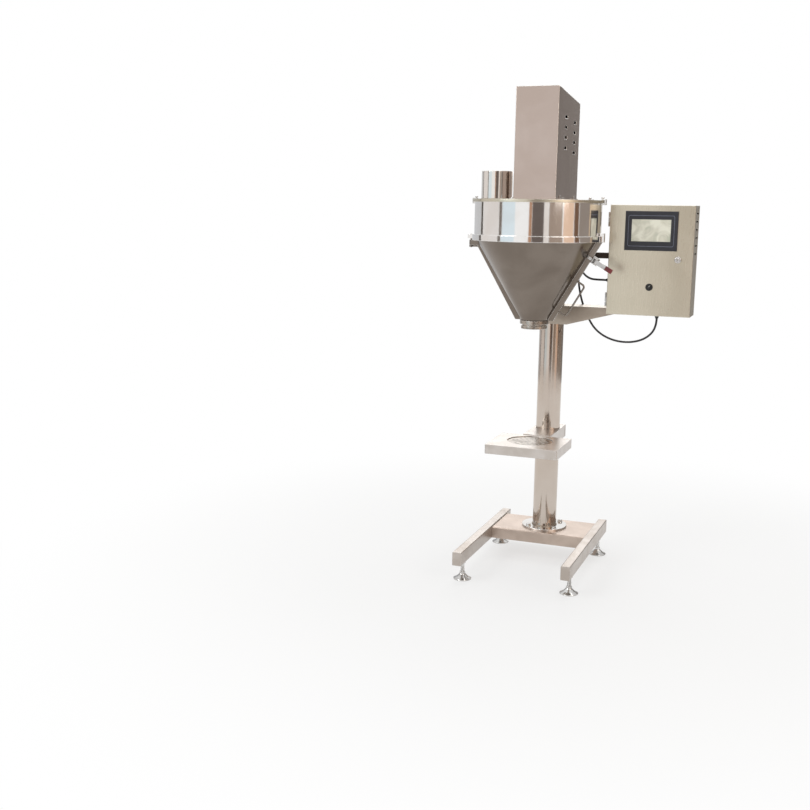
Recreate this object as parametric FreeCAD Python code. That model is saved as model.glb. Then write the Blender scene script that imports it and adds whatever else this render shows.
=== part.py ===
"""Auger powder filler: a floor-standing machine that doses powder from a hopper into a container.

Millimetres, +Z up.  X runs to the machine's right as its operator sees it, Y runs to its rear.
The model is laid out about the column's axis on the floor, and is then moved so that the
origin is the middle of the machine's footprint, on the floor.
"""
import FreeCAD, Part
import math
import os

V = FreeCAD.Vector
os.makedirs("parts", exist_ok=True)

# ---------------------------------------------------------------- driving dimensions
FIT = 0.3               # radial gap between a sliding or turning piece and its seat
RUN = 0.05              # radial gap of a bearing or a hinge pin
SEAM = 0.5              # gap between the swinging front cone and what it closes against

# floor frame
LEG_SPACING = 470.0     # between the two legs' centre lines
LEG_WIDTH = 40.0
LEG_HEIGHT = 60.0
LEG_WALL = 2.5
LEG_UNDER = 83.0        # underside of the legs above the floor
LEG_FRONT = -573.0
LEG_REAR = 187.0
CROSS_DEPTH = 252.0
CROSS_HEIGHT = 53.0
CROSS_DROP = 6.0        # top of the cross member below the top of the legs
CROSS_WALL = 3.0
FOOT_INSET = 84.0       # foot's centre from the end of its leg
FOOT_RADIUS = 39.0
FOOT_HEIGHT = 26.0
FOOT_EDGE = 5.0
STUD_RADIUS = 8.0
STUD_TOP = 120.0
FOOT_NUT = 24.0         # across flats
FOOT_DOWN = 25.0        # travel
FOOT_UP = 10.0

# column
COLUMN_RADIUS = 54.0
COLUMN_WALL = 4.0
COLUMN_TOP = 1430.0
FLANGE_RADIUS = 102.0
FLANGE_THICK = 8.0
FLANGE_BOLT_CIRCLE = 84.0

# container tray
TRAY_WIDTH = 314.0
TRAY_DEPTH = 268.0
TRAY_TOP = 600.0
TRAY_SHEET = 2.0
TRAY_SKIRT = 40.0
TRAY_REAR = -200.0
TRAY_NOTCH = 4.0        # open corner between two skirts
GRID_RADIUS = 98.0
GRID_SINK = 3.0
GRID_THICK = 2.0
GRID_HOLE = 5.5
GRID_PITCH = 25.0
BRACKET_WIDTH = 124.0
BRACKET_SHEET = 4.0
BRACKET_HEIGHT = 54.0
BRACKET_TOP = 603.0
BRACKET_REAR = 92.0
COLLAR_HEIGHT = 36.0
COLLAR_WALL = 3.2
CLAMP_EAR = 12.0        # thickness of each ear of the split collar
CLAMP_SLIT = 3.0
CLAMP_REACH = 26.0
LOCK_LEVER = 96.0

# hopper
HOPPER_Y = -315.0       # axis of hopper and auger, in front of the column
CYL_RADIUS = 263.0
SHELL = 2.0
CYL_BOTTOM = 1478.0
LID_TOP = 1623.0
LID_SHEET = 3.0
LID_RADIUS = 273.0
LID_RIM = 12.0
RING_RADIUS = 271.0
RING_BOTTOM = 1454.0
CONE_TOP_RADIUS = 250.0
CONE_FOOT_RADIUS = 57.0
CONE_FOOT = 1122.0
FLANGE_STRIP = 25.0     # how far the seam flanges stand out from the cone
STRIP_THICK = 3.0
PIVOT_X = -288.0        # hinge of the front cone
PIVOT_RADIUS = 4.0
KNUCKLE_RADIUS = 8.0
EAR_REACH = 36.0        # from the pin to the seam flange
OUTLET_BORE = 46.0
OUTLET_NECK = 50.0
OUTLET_RING = 60.0
OUTLET_LIP = 54.7
INLET_X = -180.0
INLET_RADIUS = 65.0
INLET_TOP = 1738.0
BRACE_PLATE = 8.0

# drive
HOUSING_WIDTH = 176.0
HOUSING_X = 17.0
HOUSING_FRONT = -450.0
HOUSING_REAR = -70.0
HOUSING_TOP = 2066.0
HOUSING_FALL = 39.0     # how much lower the rear edge of its top is
HOUSING_SHEET = 2.0
VENT_LENGTH = 44.0
VENT_HEIGHT = 12.0
VENT_PITCH = 41.0
AUGER_SHAFT = 12.5
AUGER_RADIUS = 24.0
AUGER_PITCH = 40.0
AUGER_TURNS = 5
AUGER_FOOT = 1092.0
HOLLOW_SHAFT = 22.0
HOLLOW_BORE = 16.0
BLADE_GAP = 20.0        # level distance from the cone to the agitator's blades
BLADE_WIDTH = 14.0
STIRRER_Y = -160.0      # stirrer motor's axis
STIRRER_PULLEY = 30.0
AGITATOR_PULLEY = 50.0
PULLEY_BOTTOM = 1708.0
PULLEY_THICK = 22.0
BELT_THICK = 3.0
MOTOR_SEAT = 1800.0
SERVO_SIZE = 120.0
SERVO_LENGTH = 165.0

# control box
BOX_LEFT = 280.0
BOX_WIDTH = 346.0
BOX_BOTTOM = 1152.0
BOX_HEIGHT = 455.0
BOX_FRONT = -200.0
BOX_DEPTH = 135.0
BOX_SHEET = 1.5
DOOR_DEPTH = 18.0
DOOR_GAP = 1.0
BOX_PIVOT_GAP = 0.5     # hinge barrel beside the box's side
BARREL_RADIUS = 5.0
HINGE_PIN = 2.5
PANEL_WIDTH = 215.0
PANEL_HEIGHT = 161.0
PANEL_X = 452.0
PANEL_Z = 1502.0
PANEL_PROUD = 7.0
LOCK_X = 566.0
LOCK_Z = 1387.0
LOCK_RADIUS = 14.0
KNOB_X = 455.0
KNOB_Z = 1271.0
KNOB_RADIUS = 15.0

# arm and bar that carry the box
ARM_DEPTH = 120.0
ARM_TOP = 1165.0
ARM_ROOT_BOTTOM = 1083.0
ARM_TIP_BOTTOM = 1143.0
ARM_LEFT = -62.0
ARM_SHOULDER = 80.0
ARM_TIP = 304.0
ARM_SHEET = 3.0
BAR_SIZE = 25.0
BAR_BOTTOM = 1378.0
BAR_COLLAR = 66.0

# cables
CABLE = 9.0             # diameter


# ---------------------------------------------------------------- small shape helpers
def box(x0, x1, y0, y1, z0, z1):
    return Part.makeBox(x1 - x0, y1 - y0, z1 - z0, V(x0, y0, z0))


def rod(x, y, z0, z1, radius):
    return Part.makeCylinder(radius, z1 - z0, V(x, y, z0))


def tube(x, y, z0, z1, outer, inner):
    return rod(x, y, z0, z1, outer).cut(rod(x, y, z0, z1, inner))


def rod_along(start, direction, length, radius):
    return Part.makeCylinder(radius, length, start, direction)


def hexagon(x, y, z0, z1, flats):
    """Vertical hexagonal prism of a given width across flats."""
    corner = flats / math.sqrt(3)
    points = [V(x + corner * math.cos(math.radians(60 * i)),
                y + corner * math.sin(math.radians(60 * i)), z0) for i in range(7)]
    return Part.Face(Part.makePolygon(points)).extrude(V(0, 0, z1 - z0))


def prism_xz(points, y0, y1):
    """Outline of (x, z) points, extruded along Y."""
    loop = [V(x, y0, z) for x, z in points]
    return Part.Face(Part.makePolygon(loop + loop[:1])).extrude(V(0, y1 - y0, 0))


def prism_yz(points, x0, x1):
    """Outline of (y, z) points, extruded along X."""
    loop = [V(x0, y, z) for y, z in points]
    return Part.Face(Part.makePolygon(loop + loop[:1])).extrude(V(x1 - x0, 0, 0))


def turned(profile, x, y):
    """Solid of revolution about a vertical axis from (radius, z) points."""
    loop = [V(x + r, y, z) for r, z in profile]
    return Part.Face(Part.makePolygon(loop + loop[:1])).revolve(V(x, y, 0), V(0, 0, 1), 360)


def together(shapes):
    """One solid from shapes that share material."""
    return shapes[0].fuse(shapes[1:]).removeSplitter()


def group(shapes):
    """Separate solids that share a node."""
    return Part.makeCompound(shapes)


def bolt(x, y, seat, flats, height, shank=0.0):
    """Hexagon head standing on seat, with a chamfered top and an optional shank below it."""
    head = hexagon(x, y, seat, seat + height, flats)
    dome = Part.makeCone(flats * 0.75, flats * 0.45, height, V(x, y, seat))
    head = head.common(dome)
    return together([head, rod(x, y, seat - shank, seat + height / 2, flats * 0.3)]) if shank else head


def at_angles(count, radius, start=0.0):
    return [(radius * math.cos(math.radians(start + 360.0 * i / count)),
             radius * math.sin(math.radians(start + 360.0 * i / count))) for i in range(count)]


def cable_tube(name, points, diameter):
    """Tube of straight runs joined by tangent arcs; each arc is as large as its two runs allow."""
    points = [V(*p) for p in points]
    edges, start, radii = [], points[0], []
    for before, corner, after in zip(points, points[1:], points[2:]):
        into, out = (corner - before), (after - corner)
        half = into.getAngle(out) / 2
        radius = 0.45 * min(into.Length, out.Length) / math.tan(half)
        radii.append(radius)
        reach = radius * math.tan(half)
        into.normalize()
        out.normalize()
        first, last = corner - into * reach, corner + out * reach
        bisector = (out - into).normalize()
        middle = corner + bisector * (radius / math.cos(half) - radius)
        edges.append(Part.makeLine(start, first))
        edges.append(Part.Arc(first, middle, last).toShape())
        start = last
    edges.append(Part.makeLine(start, points[-1]))
    path = Part.Wire(edges)
    ring = Part.Wire(Part.makeCircle(diameter / 2, points[0], points[1] - points[0]))
    solid = path.makePipeShell([ring], True, False)
    expected = math.pi * diameter ** 2 / 4 * path.Length
    print(f"{name}: length {path.Length:.0f}, least radius {min(radii):.0f}, "
          f"radii {[round(r) for r in radii]}, volume ratio {solid.Volume / expected:.4f}")
    return solid


NODES = {}
CORDS = set()


# ---------------------------------------------------------------- floor frame
LEG_TOP = LEG_UNDER + LEG_HEIGHT
CROSS_TOP = LEG_TOP - CROSS_DROP
LEG_X = {"left": -LEG_SPACING / 2, "right": LEG_SPACING / 2}
FOOT_Y = {"front": LEG_FRONT + FOOT_INSET, "rear": LEG_REAR - FOOT_INSET - 10}


def leg(x):
    """Closed box section; the feet's studs enter through its underside."""
    half = LEG_WIDTH / 2
    body = box(x - half, x + half, LEG_FRONT, LEG_REAR, LEG_UNDER, LEG_TOP)
    long_edges = [e for e in body.Edges if abs(e.tangentAt(e.FirstParameter).y) > 0.99]
    body = body.makeFillet(4.0, long_edges)
    core = box(x - half + LEG_WALL, x + half - LEG_WALL, LEG_FRONT + LEG_WALL, LEG_REAR - LEG_WALL,
               LEG_UNDER + LEG_WALL, LEG_TOP - LEG_WALL)
    studs = [rod(x, y, LEG_UNDER - 1, LEG_UNDER + LEG_WALL + 1, STUD_RADIUS + FIT)
             for y in FOOT_Y.values()]
    return body.cut([core] + studs)


def cross_member():
    """Closed box between the legs that spreads the column's load."""
    half = LEG_SPACING / 2 - LEG_WIDTH / 2
    deep = CROSS_DEPTH / 2
    body = box(-half, half, -deep, deep, CROSS_TOP - CROSS_HEIGHT, CROSS_TOP)
    edges = [e for e in body.Edges if abs(e.tangentAt(e.FirstParameter).x) > 0.99]
    body = body.makeFillet(5.0, edges)
    core = box(-half + CROSS_WALL, half - CROSS_WALL, -deep + CROSS_WALL, deep - CROSS_WALL,
               CROSS_TOP - CROSS_HEIGHT + CROSS_WALL, CROSS_TOP - CROSS_WALL)
    return body.cut(core)


def levelling_foot(x, y):
    """Turned foot with a domed cone, a hexagon for the spanner and a stud."""
    neck = STUD_RADIUS + 5
    profile = [(0, 0), (FOOT_RADIUS - 2, 0), (FOOT_RADIUS, 1.5), (FOOT_RADIUS, FOOT_EDGE),
               (FOOT_RADIUS * 0.66, FOOT_HEIGHT * 0.45), (neck + 2, FOOT_HEIGHT * 0.85),
               (neck, FOOT_HEIGHT), (0, FOOT_HEIGHT)]
    pad = turned(profile, x, y)
    collar = hexagon(x, y, FOOT_HEIGHT, FOOT_HEIGHT + 8, 22)
    stud = rod(x, y, FOOT_HEIGHT, STUD_TOP, STUD_RADIUS)
    return together([pad, collar, stud])


def foot_nut(x, y):
    """Lock nut against the underside of the leg."""
    body = hexagon(x, y, LEG_UNDER - 11, LEG_UNDER, FOOT_NUT)
    return body.cut(rod(x, y, LEG_UNDER - 12, LEG_UNDER + 1, STUD_RADIUS + FIT))


def floor_frame():
    NODES["left_leg"] = leg(LEG_X["left"])
    NODES["right_leg"] = leg(LEG_X["right"])
    NODES["cross_member"] = cross_member()
    for side, x in LEG_X.items():
        for end, y in FOOT_Y.items():
            NODES[f"foot_{end}_{side}"] = levelling_foot(x, y)


# ---------------------------------------------------------------- column
FLANGE_TOP = CROSS_TOP + FLANGE_THICK


def column_parts():
    bolts = at_angles(4, FLANGE_BOLT_CIRCLE, 45)
    plate = rod(0, 0, CROSS_TOP, FLANGE_TOP, FLANGE_RADIUS)
    plate = plate.cut([rod(0, 0, CROSS_TOP - 1, FLANGE_TOP + 1, COLUMN_RADIUS - COLUMN_WALL - 6)]
                      + [rod(x, y, CROSS_TOP - 1, FLANGE_TOP + 1, 6.6) for x, y in bolts])
    NODES["base_flange"] = plate
    NODES["column"] = tube(0, 0, FLANGE_TOP, COLUMN_TOP, COLUMN_RADIUS, COLUMN_RADIUS - COLUMN_WALL)
    heads = [together([tube(x, y, FLANGE_TOP, FLANGE_TOP + 2, 12, 5),
                       bolt(x, y, FLANGE_TOP + 2, 18, 8, FLANGE_THICK)]) for x, y in bolts]
    nuts = [foot_nut(x, y) for x in LEG_X.values() for y in FOOT_Y.values()]
    NODES["frame_fasteners"] = group(heads + nuts)


# ---------------------------------------------------------------- container tray
def tray_pan():
    """Inverted pan: a flat top with folded skirts that leave open corners, and a dished seat."""
    half = TRAY_WIDTH / 2
    front = TRAY_REAR - TRAY_DEPTH
    low = TRAY_TOP - TRAY_SKIRT
    notch = TRAY_NOTCH
    top = box(-half, half, front, TRAY_REAR, TRAY_TOP - TRAY_SHEET, TRAY_TOP)
    skirts = [box(-half, -half + TRAY_SHEET, front + notch, TRAY_REAR - notch, low, TRAY_TOP),
              box(half - TRAY_SHEET, half, front + notch, TRAY_REAR - notch, low, TRAY_TOP),
              box(-half + notch, half - notch, front, front + TRAY_SHEET, low, TRAY_TOP),
              box(-half + notch, half - notch, TRAY_REAR - TRAY_SHEET, TRAY_REAR, low, TRAY_TOP)]
    seat = rod(0, HOPPER_Y, TRAY_TOP - GRID_SINK - 2 * GRID_THICK, TRAY_TOP, GRID_RADIUS + 4)
    dish = rod(0, HOPPER_Y, TRAY_TOP - GRID_SINK - GRID_THICK, TRAY_TOP + 1, GRID_RADIUS + FIT)
    hole = rod(0, HOPPER_Y, TRAY_TOP - TRAY_SKIRT, TRAY_TOP + 1, GRID_RADIUS - 10)
    return together([top] + skirts + [seat]).cut([dish, hole])


def tray_grid():
    """Perforated disc that lets spilt powder fall through."""
    bottom = TRAY_TOP - GRID_SINK - GRID_THICK
    disc = rod(0, HOPPER_Y, bottom, bottom + GRID_THICK, GRID_RADIUS)
    holes = []
    rows = int(GRID_RADIUS / (GRID_PITCH * 0.866))
    for row in range(-rows, rows + 1):
        for column in range(-5, 6):
            x = (column + 0.5 * (row % 2)) * GRID_PITCH
            y = row * GRID_PITCH * 0.866
            if math.hypot(x, y) < GRID_RADIUS - GRID_HOLE - 10:
                holes.append(rod(x, HOPPER_Y + y, bottom - 1, bottom + GRID_THICK + 1, GRID_HOLE))
    return disc.cut(holes)


def tray_bracket():
    """Inverted channel that swivels on the clamp collar and carries the tray on its front plate."""
    half = BRACKET_WIDTH / 2
    low = BRACKET_TOP - BRACKET_HEIGHT
    inner = half - BRACKET_SHEET
    body = box(-half, half, TRAY_REAR, BRACKET_REAR, low, BRACKET_TOP)
    hollow = box(-inner, inner, TRAY_REAR + BRACKET_SHEET, BRACKET_REAR + 1, low - 1,
                 BRACKET_TOP - BRACKET_SHEET)
    bore = rod(0, 0, low, BRACKET_TOP + 1, COLUMN_RADIUS + FIT)
    slot = box(half - BRACKET_SHEET - 1, half + 1, BRACKET_REAR - 18, BRACKET_REAR - 8,
               low + 8, low + 36)
    return body.cut([hollow, bore, slot])


def tray_bolts():
    """Hexagon heads inside the tray that hold it to the bracket's front plate."""
    seat = TRAY_REAR - TRAY_SHEET
    heads = []
    for x in (-40, 40):
        for z in (TRAY_TOP - 14, TRAY_TOP - 32):
            heads.append(rod_along(V(x, seat, z), V(0, -1, 0), 6, 7.5))
    return group(heads)


COLLAR_TOP = BRACKET_TOP - BRACKET_SHEET
CLAMP_Y = COLUMN_RADIUS + COLLAR_WALL + CLAMP_REACH / 2
CLAMP_Z = COLLAR_TOP - COLLAR_HEIGHT / 2


def tray_collar():
    """Split ring that grips the column; its two ears stand at the rear, with a screw across them."""
    low = COLLAR_TOP - COLLAR_HEIGHT
    outer = COLUMN_RADIUS + COLLAR_WALL
    ring = rod(0, 0, low, COLLAR_TOP, outer)
    reach = outer + CLAMP_REACH
    width = CLAMP_SLIT / 2 + CLAMP_EAR
    ears = box(-width, width, COLUMN_RADIUS, reach, low, COLLAR_TOP)
    body = together([ring, ears])
    slit = box(-CLAMP_SLIT / 2, CLAMP_SLIT / 2, 0, reach + 1, low - 1, COLLAR_TOP + 1)
    screw = rod_along(V(-width - 1, CLAMP_Y, CLAMP_Z), V(1, 0, 0), 2 * width + 2, 5 + RUN)
    return body.cut([rod(0, 0, low - 1, COLLAR_TOP + 1, COLUMN_RADIUS + FIT), slit, screw])


def tray_lock_lever():
    """Clamp screw with a washer head and a long lever that reaches out of the bracket's rear."""
    width = CLAMP_SLIT / 2 + CLAMP_EAR
    start = V(-width - 14, CLAMP_Y, CLAMP_Z)
    screw = rod_along(start, V(1, 0, 0), 2 * width + 14 + 9, 5)
    hub = rod_along(start, V(1, 0, 0), 13.5, 9)
    nut = rod_along(V(width + 0.5, CLAMP_Y, CLAMP_Z), V(1, 0, 0), 7, 8.5)
    root = V(-width - 7, CLAMP_Y + 4, CLAMP_Z)
    arm = rod_along(root, V(0, 1, 0), LOCK_LEVER, 4.5)
    knob = Part.makeSphere(9, root + V(0, LOCK_LEVER, 0))
    return together([screw, hub, nut, arm, knob])


def tray_parts():
    NODES["tray_pan"] = tray_pan()
    NODES["tray_grid"] = tray_grid()
    NODES["tray_bracket"] = tray_bracket()
    NODES["tray_bolts"] = tray_bolts()
    NODES["tray_clamp_collar"] = tray_collar()
    NODES["tray_lock_lever"] = tray_lock_lever()


# ---------------------------------------------------------------- arm, bar and hopper brace
ARM_FACE = -ARM_DEPTH / 2
BOX_REAR = BOX_FRONT + BOX_DEPTH


def box_arm():
    """Tapered hollow arm around the column's head that reaches out to the control box."""
    outline = [(ARM_LEFT, ARM_ROOT_BOTTOM), (ARM_SHOULDER, ARM_ROOT_BOTTOM), (ARM_TIP, ARM_TIP_BOTTOM),
               (ARM_TIP, ARM_TOP), (ARM_LEFT, ARM_TOP)]
    body = prism_xz(outline, ARM_FACE, -ARM_FACE)
    core = [(ARM_LEFT + ARM_SHEET, ARM_ROOT_BOTTOM + ARM_SHEET),
            (ARM_SHOULDER - 1, ARM_ROOT_BOTTOM + ARM_SHEET),
            (ARM_TIP - ARM_SHEET, ARM_TIP_BOTTOM + ARM_SHEET),
            (ARM_TIP - ARM_SHEET, ARM_TOP - ARM_SHEET), (ARM_LEFT + ARM_SHEET, ARM_TOP - ARM_SHEET)]
    hollow = prism_xz(core, ARM_FACE + ARM_SHEET, -ARM_FACE - ARM_SHEET)
    hole = rod(0, 0, ARM_ROOT_BOTTOM - 1, ARM_TOP + 1, COLUMN_RADIUS + FIT)
    return body.cut([hollow, hole])


def box_bar():
    """Square bar welded to a ring on the column; it steadies the top of the box plate."""
    top = BAR_BOTTOM + BAR_SIZE
    ring = rod(0, 0, BAR_BOTTOM - 5, top + 5, BAR_COLLAR)
    bar = box(COLUMN_RADIUS - 8, BOX_LEFT + 110, ARM_FACE, ARM_FACE + BAR_SIZE, BAR_BOTTOM, top)
    bore = rod(0, 0, BAR_BOTTOM - 6, top + 6, COLUMN_RADIUS + FIT)
    return together([ring, bar]).cut(bore)


def box_plate():
    """Plate between the box's back and the arm and bar."""
    plate = box(BOX_LEFT + 6, BOX_LEFT + 120, BOX_REAR, ARM_FACE, BOX_BOTTOM + 2, BAR_BOTTOM + BAR_SIZE + 18)
    corners = [e for e in plate.Edges if abs(e.tangentAt(e.FirstParameter).y) > 0.99]
    return plate.makeFillet(10.0, corners)


def hopper_brace():
    """Cap on the column with an upright that holds the hopper ring and a lip under it."""
    cap_top = COLUMN_TOP + BRACE_PLATE
    ring_rear = HOPPER_Y + RING_RADIUS
    cap = rod(0, 0, COLUMN_TOP, cap_top, COLUMN_RADIUS)
    foot = box(-70, 70, ring_rear - 12, 20, cap_top - BRACE_PLATE, cap_top)
    upright = box(-70, 70, ring_rear + FIT, ring_rear + FIT + BRACE_PLATE, cap_top - 1, CYL_BOTTOM)
    lip = box(-70, 70, ring_rear - 12, ring_rear + FIT + 1, RING_BOTTOM - FIT - 6, RING_BOTTOM - FIT)
    clear = rod(0, HOPPER_Y, COLUMN_TOP - 1, RING_BOTTOM, CONE_TOP_RADIUS + 4)
    ribs = [box(x - 3, x + 3, ring_rear + FIT + 2, 30, cap_top - 1, CYL_BOTTOM - 4) for x in (-45, 45)]
    slope = prism_yz([(ring_rear + 14, CYL_BOTTOM), (40, cap_top + 8), (40, CYL_BOTTOM)], -80, 80)
    ribs = [rib.cut(slope) for rib in ribs]
    return together([cap, foot, upright, lip] + ribs).cut(clear)


def support_parts():
    NODES["box_arm"] = box_arm()
    NODES["box_bar"] = box_bar()
    NODES["box_plate"] = box_plate()
    NODES["hopper_brace"] = hopper_brace()


# ---------------------------------------------------------------- hopper
def cone_radius(z):
    share = (z - CONE_FOOT) / (RING_BOTTOM - CONE_FOOT)
    return CONE_FOOT_RADIUS + share * (CONE_TOP_RADIUS - CONE_FOOT_RADIUS)


CONE_LEAN = math.degrees(math.atan((CONE_TOP_RADIUS - CONE_FOOT_RADIUS) / (RING_BOTTOM - CONE_FOOT)))


def half_cone(side, z0, z1):
    """Half of the cone's shell with its two seam flanges; side is -1 in front, +1 behind."""
    wall = SHELL / math.cos(math.radians(CONE_LEAN))
    profile = [(cone_radius(z0) - wall, z0), (cone_radius(z0), z0),
               (cone_radius(z1), z1), (cone_radius(z1) - wall, z1)]
    shell = turned(profile, 0, HOPPER_Y)
    reach = CONE_TOP_RADIUS + 50
    near, far = sorted((HOPPER_Y, HOPPER_Y + side * reach))
    shell = shell.common(box(-reach, reach, near, far, z0 - 1, z1 + 1))
    pieces = [shell]
    inside = wall / 2
    near, far = sorted((HOPPER_Y, HOPPER_Y + side * STRIP_THICK))
    for hand in (-1, 1):
        strip = [(hand * (cone_radius(z0) - inside), z0), (hand * (cone_radius(z0) + FLANGE_STRIP), z0),
                 (hand * (cone_radius(z1) + FLANGE_STRIP), z1), (hand * (cone_radius(z1) - inside), z1)]
        pieces.append(prism_xz(strip, near, far))
    return together(pieces)


KNUCKLE_TOP = RING_BOTTOM + 2
KNUCKLE_BOTTOM = RING_BOTTOM - 24


def cone_handle():
    """Round rod bent into a D, welded to the edge of the front cone's right flange."""
    radius, bend = 4.0, 12.0
    y = HOPPER_Y - SEAM - radius
    lean = math.radians(CONE_LEAN)
    outward = V(math.cos(lean), 0, -math.sin(lean))
    upward = V(math.sin(lean), 0, math.cos(lean))
    low_z = 1163.0
    foot = V(cone_radius(low_z) + FLANGE_STRIP, y, low_z)
    reach, height = 36.0, 148.0
    turn = bend * (1 - math.sqrt(0.5))
    corner_low, corner_high = foot + outward * reach, foot + outward * reach + upward * height
    points = [foot - outward * 3, corner_low - outward * bend,
              corner_low - outward * turn + upward * turn, corner_low + upward * bend,
              corner_high - upward * bend, corner_high - outward * turn - upward * turn,
              corner_high - outward * bend, foot + upward * height - outward * 3]
    path = Part.Wire([Part.makeLine(points[0], points[1]),
                      Part.Arc(points[1], points[2], points[3]).toShape(),
                      Part.makeLine(points[3], points[4]),
                      Part.Arc(points[4], points[5], points[6]).toShape(),
                      Part.makeLine(points[6], points[7])])
    ring = Part.Wire(Part.makeCircle(radius, points[0], outward))
    return path.makePipeShell([ring], True, False)


def front_cone():
    """Front half of the cone, which swings open on a pin at its upper left corner."""
    body = half_cone(-1, CONE_FOOT + SEAM, RING_BOTTOM - SEAM)
    top = KNUCKLE_TOP - 4
    knuckle = rod(PIVOT_X, HOPPER_Y, KNUCKLE_BOTTOM, top, KNUCKLE_RADIUS)
    arm = box(PIVOT_X, PIVOT_X + EAR_REACH, HOPPER_Y - KNUCKLE_RADIUS, HOPPER_Y - 0.2, KNUCKLE_BOTTOM, top - 2)
    bore = rod(PIVOT_X, HOPPER_Y, KNUCKLE_BOTTOM - 1, top + 1, PIVOT_RADIUS + RUN)
    return together([body, knuckle, arm, cone_handle()]).cut(bore)


def rear_cone():
    """Rear half of the cone, welded under the ring, with the lower ear of the hinge."""
    body = half_cone(1, CONE_FOOT, RING_BOTTOM)
    low = KNUCKLE_BOTTOM - 8
    ear = rod(PIVOT_X, HOPPER_Y, low, KNUCKLE_BOTTOM - SEAM, KNUCKLE_RADIUS)
    arm = box(PIVOT_X, PIVOT_X + EAR_REACH, HOPPER_Y + 0.2, HOPPER_Y + KNUCKLE_RADIUS, low,
              KNUCKLE_BOTTOM - SEAM)
    bore = rod(PIVOT_X, HOPPER_Y, low - 1, KNUCKLE_BOTTOM, PIVOT_RADIUS)
    return together([body, ear, arm]).cut(bore)


def hopper_body():
    """Straight wall on a band that carries the cone, with a hinge lug left and a lug right."""
    inner = CONE_TOP_RADIUS - SHELL - 2
    ring = tube(0, HOPPER_Y, RING_BOTTOM, CYL_BOTTOM, RING_RADIUS, inner)
    lug = box(PIVOT_X - 12, -RING_RADIUS + 8, HOPPER_Y - 11, HOPPER_Y + 11, RING_BOTTOM + 4, CYL_BOTTOM - 3)
    hand = box(RING_RADIUS - 8, RING_RADIUS + 12, HOPPER_Y - 9, HOPPER_Y + 9, RING_BOTTOM, CYL_BOTTOM + 12)
    gap = tube(0, HOPPER_Y, CYL_BOTTOM, CYL_BOTTOM + 14, CYL_RADIUS + 1, 10)
    wall = tube(0, HOPPER_Y, CYL_BOTTOM - 1, LID_TOP - LID_SHEET, CYL_RADIUS, CYL_RADIUS - SHELL)
    body = together([ring, lug, hand.cut(gap), wall])
    return body.cut(rod(PIVOT_X, HOPPER_Y, RING_BOTTOM, CYL_BOTTOM, PIVOT_RADIUS))


def lid():
    """Flat lid with a turned-down rim, a hole for the inlet and one for the drive."""
    low = LID_TOP - LID_RIM
    disc = rod(0, HOPPER_Y, low, LID_TOP, LID_RADIUS)
    under = rod(0, HOPPER_Y, low - 1, LID_TOP - LID_SHEET, LID_RADIUS - 4)
    inlet = rod(INLET_X, HOPPER_Y, low, LID_TOP + 1, INLET_RADIUS + 0.2)
    shaft = rod(0, HOPPER_Y, low, LID_TOP + 1, 42)
    return disc.cut([under, inlet, shaft])


def lid_clamps():
    """Screw clamps that hook the lid's rim to the cylinder."""
    clamps = []
    for angle in (0, 50, 130, 180):
        low, top = LID_TOP - 19, LID_TOP + 5
        body = box(LID_RADIUS - 9, LID_RADIUS + 11, -7, 7, low, top)
        mouth = box(CYL_RADIUS, LID_RADIUS + 3, -8, 8, low + 5, LID_TOP + 0.1)
        throat = box(CYL_RADIUS, CYL_RADIUS + 3, -8, 8, low - 1, LID_TOP)
        body = body.cut([mouth, throat])
        screw = rod(LID_RADIUS - 4, 0, LID_TOP + 0.1, LID_TOP + 8, 3)
        grip = rod(LID_RADIUS - 4, 0, LID_TOP + 7, LID_TOP + 12, 6)
        clamp = together([body, screw, grip])
        clamp.rotate(V(0, 0, 0), V(0, 0, 1), angle)
        clamp.translate(V(0, HOPPER_Y, 0))
        clamps.append(clamp)
    return group(clamps)


def inlet_tube():
    """Open tube through the lid, with a small rolled edge at its mouth."""
    low = LID_TOP - LID_RIM
    return tube(INLET_X, HOPPER_Y, low, INLET_TOP, INLET_RADIUS, INLET_RADIUS - SHELL)


def outlet():
    """Turned outlet: a ring the cone sits on, a neck, and a lip that a nozzle is clamped to."""
    top = CONE_FOOT
    profile = [(OUTLET_BORE, top), (OUTLET_RING, top), (OUTLET_RING, top - 15), (OUTLET_NECK, top - 17),
               (OUTLET_NECK, top - 21), (OUTLET_LIP, top - 23), (OUTLET_LIP, top - 35),
               (OUTLET_BORE, top - 35)]
    return turned(profile, 0, HOPPER_Y)


def hopper_parts():
    NODES["hopper_body"] = hopper_body()
    NODES["rear_cone"] = rear_cone()
    NODES["front_cone"] = front_cone()
    NODES["cone_hinge_pin"] = rod(PIVOT_X, HOPPER_Y, KNUCKLE_BOTTOM - 10, CYL_BOTTOM - 1, PIVOT_RADIUS)
    NODES["powder_outlet"] = outlet()
    NODES["hopper_lid"] = lid()
    NODES["lid_clamps"] = lid_clamps()
    NODES["inlet_tube"] = inlet_tube()


# ---------------------------------------------------------------- toggle clamp on the cone's seam
CLAMP_HEIGHT = 1385.0
TOGGLE_EDGE = V(cone_radius(CLAMP_HEIGHT) + FLANGE_STRIP, HOPPER_Y, CLAMP_HEIGHT)
TOGGLE_AXIS = V(math.sin(math.radians(CONE_LEAN)), 0, math.cos(math.radians(CONE_LEAN)))
ARM_PIVOT = (5.0, -9.0)       # beside the flange's edge and in front of the seam
HANDLE_PIVOT = (19.0, -12.0)


def on_seam(shape):
    """Moves a piece drawn at the flange's edge (x outward, y rearward, z along the edge) to its place."""
    shape.rotate(V(0, 0, 0), V(0, 1, 0), CONE_LEAN)
    shape.translate(TOGGLE_EDGE)
    return shape


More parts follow.
